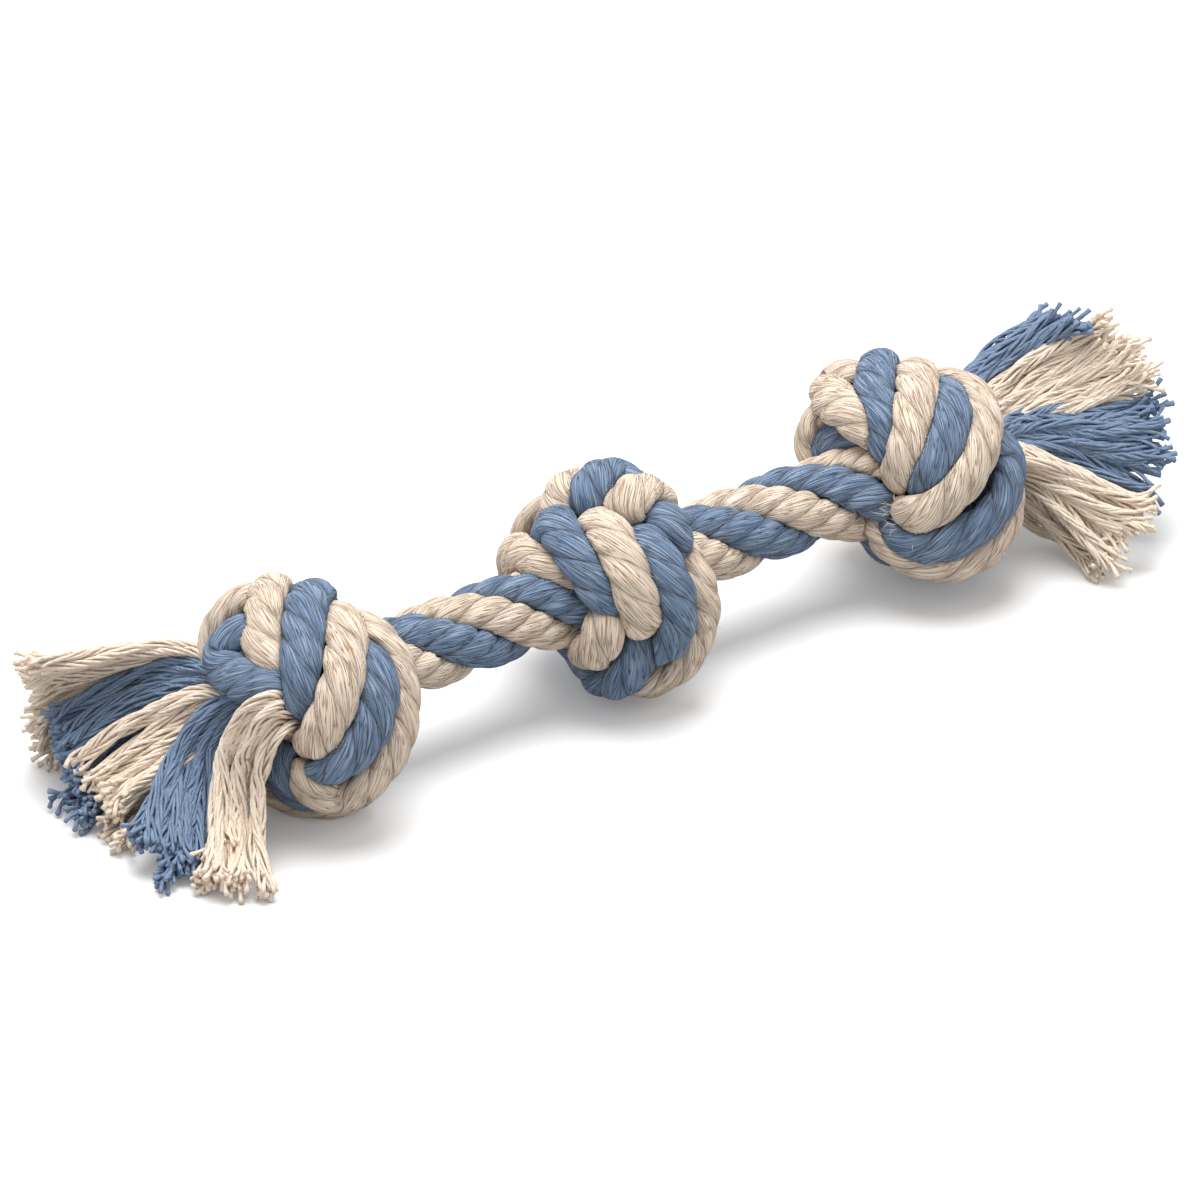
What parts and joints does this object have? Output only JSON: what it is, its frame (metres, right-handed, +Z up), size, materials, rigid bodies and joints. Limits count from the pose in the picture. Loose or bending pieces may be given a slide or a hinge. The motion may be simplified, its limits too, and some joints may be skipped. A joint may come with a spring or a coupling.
{
  "type": "rope dog toy",
  "caption": "Dog's chew and tug toy: laid cotton rope in two colours, tied in hard knots, with both ends opened into tassels.",
  "frame": {"origin": "on the surface that the toy lies on, below the middle of its box", "axes": "+X along the rope, from the spreading tassel to the tassel that flares, +Z up, +Y to the back"},
  "size_m": [0.3528, 0.101, 0.0653],
  "materials": {
    "cream_cotton": "matte",
    "blue_cotton": "matte"
  },
  "bodies": {
    "root": {"left_knot_blue_turn_1": "blue_cotton", "left_knot_blue_turn_2": "blue_cotton", "left_knot_blue_turn_3": "blue_cotton", "left_knot_blue_turn_4": "blue_cotton", "left_knot_blue_turn_5": "blue_cotton", "left_knot_blue_turn_6": "blue_cotton", "left_knot_core": "cream_cotton", "left_knot_cream_turn_1": "cream_cotton", "left_knot_cream_turn_2": "cream_cotton", "left_knot_cream_turn_3": "cream_cotton", "left_knot_cream_turn_4": "cream_cotton", "left_knot_cream_turn_5": "cream_cotton", "left_rope_blue_strand_1": "blue_cotton", "left_rope_blue_strand_2": "blue_cotton", "left_rope_cream_strand_1": "cream_cotton", "left_rope_cream_strand_2": "cream_cotton", "left_tassel_blue_cords_1": "blue_cotton", "left_tassel_blue_cords_2": "blue_cotton", "left_tassel_cream_cords_1": "cream_cotton", "left_tassel_cream_cords_2": "cream_cotton", "left_tassel_cream_cords_3": "cream_cotton", "middle_knot_blue_turn_1": "blue_cotton", "middle_knot_blue_turn_2": "blue_cotton", "middle_knot_blue_turn_3": "blue_cotton", "middle_knot_blue_turn_4": "blue_cotton", "middle_knot_blue_turn_5": "blue_cotton", "middle_knot_blue_turn_6": "blue_cotton", "middle_knot_blue_turn_7": "blue_cotton", "middle_knot_core": "cream_cotton", "middle_knot_cream_turn_1": "cream_cotton", "middle_knot_cream_turn_2": "cream_cotton", "middle_knot_cream_turn_3": "cream_cotton", "middle_knot_cream_turn_4": "cream_cotton", "middle_knot_cream_turn_5": "cream_cotton", "middle_knot_cream_turn_6": "cream_cotton", "middle_knot_cream_turn_7": "cream_cotton", "middle_knot_cream_turn_8": "cream_cotton", "right_knot_blue_turn_1": "blue_cotton", "right_knot_blue_turn_2": "blue_cotton", "right_knot_blue_turn_3": "blue_cotton", "right_knot_blue_turn_4": "blue_cotton", "right_knot_blue_turn_5": "blue_cotton", "right_knot_blue_turn_6": "blue_cotton", "right_knot_core": "cream_cotton", "right_knot_cream_turn_1": "cream_cotton", "right_knot_cream_turn_2": "cream_cotton", "right_knot_cream_turn_3": "cream_cotton", "right_knot_cream_turn_4": "cream_cotton", "right_knot_cream_turn_5": "cream_cotton", "right_knot_cream_turn_6": "cream_cotton", "right_knot_cream_turn_7": "cream_cotton", "right_rope_blue_strand_1": "blue_cotton", "right_rope_blue_strand_2": "blue_cotton", "right_rope_cream_strand_1": "cream_cotton", "right_rope_cream_strand_2": "cream_cotton", "right_tassel_blue_cords_1": "blue_cotton", "right_tassel_blue_cords_2": "blue_cotton", "right_tassel_cream_cords_1": "cream_cotton", "right_tassel_cream_cords_2": "cream_cotton"}
  },
  "joints": []
}
